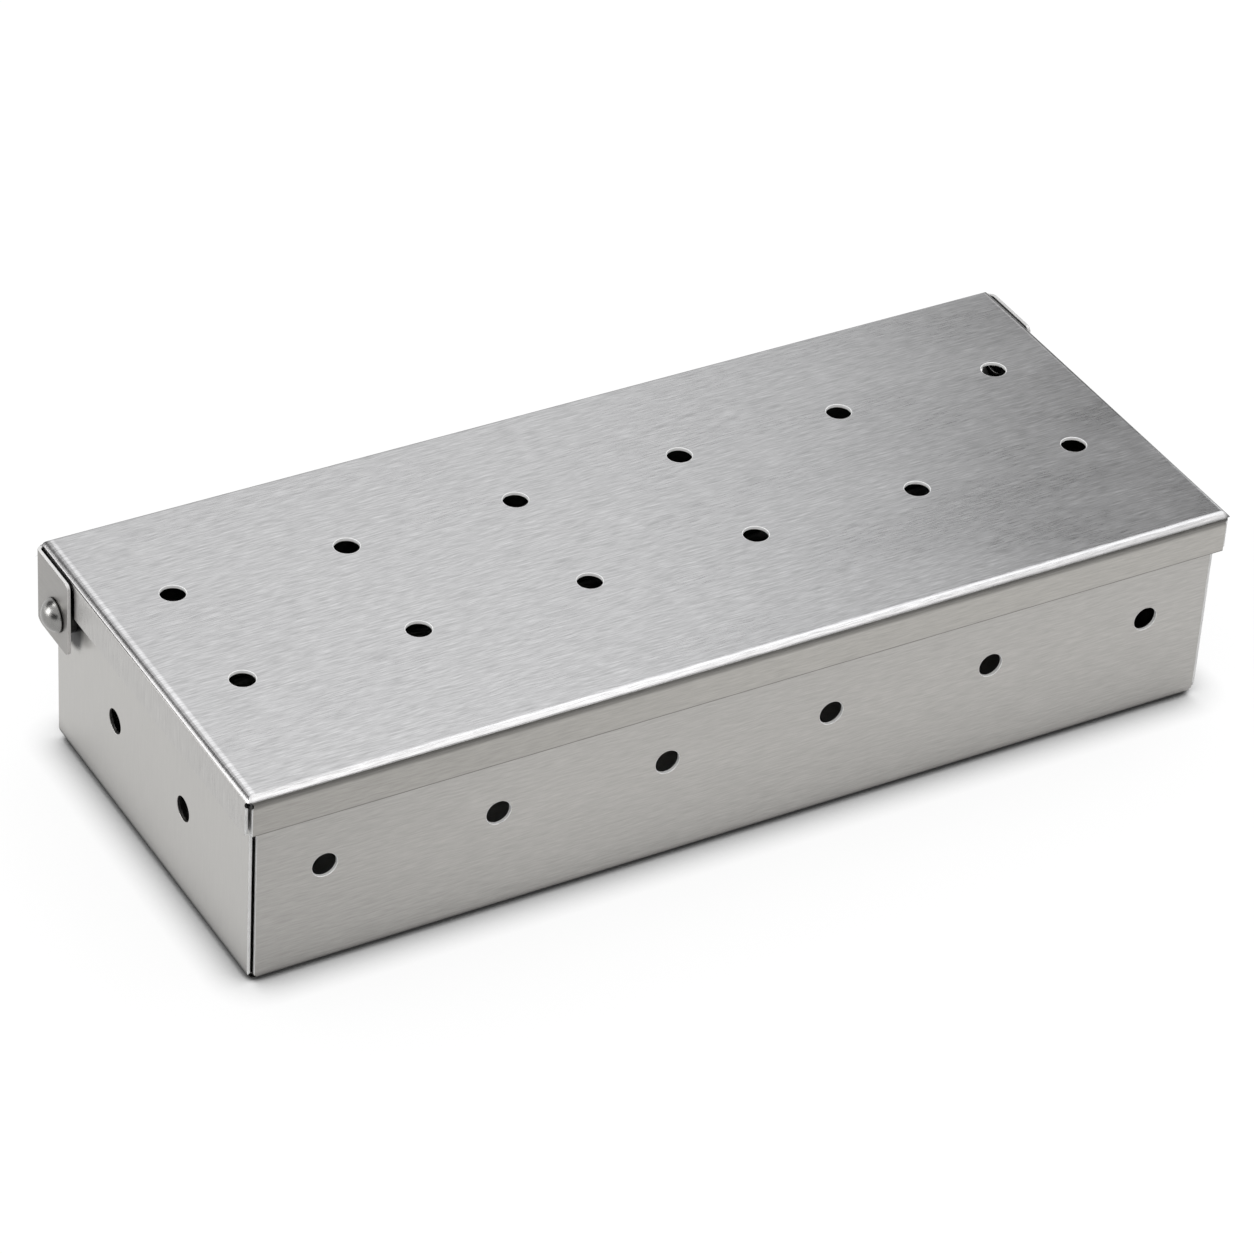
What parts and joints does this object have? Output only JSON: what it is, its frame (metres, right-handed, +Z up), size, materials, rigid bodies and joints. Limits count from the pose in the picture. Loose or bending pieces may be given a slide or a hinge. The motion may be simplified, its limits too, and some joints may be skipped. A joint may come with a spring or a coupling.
{
  "type": "smoker box",
  "caption": "Folded steel box with a hinged, perforated lid that holds smouldering wood chips on a grill and lets their smoke out.",
  "frame": {"origin": "middle of the closed box's footprint, on the surface that it stands on", "axes": "+X along the box's length, to the right as seen from the front; +Y to the rear, where the lid hinges; +Z up"},
  "size_m": [0.2384, 0.096, 0.048],
  "materials": {
    "tray_steel": "brushed along the length on the long walls, plain satin on the end walls",
    "lid_steel": "fine brushing along the length",
    "rivet_steel": "smooth, lightly tumbled",
    "washer_steel": "plain satin"
  },
  "bodies": {
    "tray_body": {"tray": "tray_steel", "rivet_left": "rivet_steel", "rivet_right": "rivet_steel", "spacer_left": "washer_steel", "spacer_right": "washer_steel", "backing_washer_left": "washer_steel", "backing_washer_right": "washer_steel"},
    "lid_body": {"lid": "lid_steel"}
  },
  "joints": [
    {"name": "lid_hinge", "type": "hinge", "parent": "tray_body", "child": "lid_body", "pos_m": [0, 0.0382, 0.0361], "axis": [-1, 0, 0], "range_deg": [0, 100]}
  ]
}
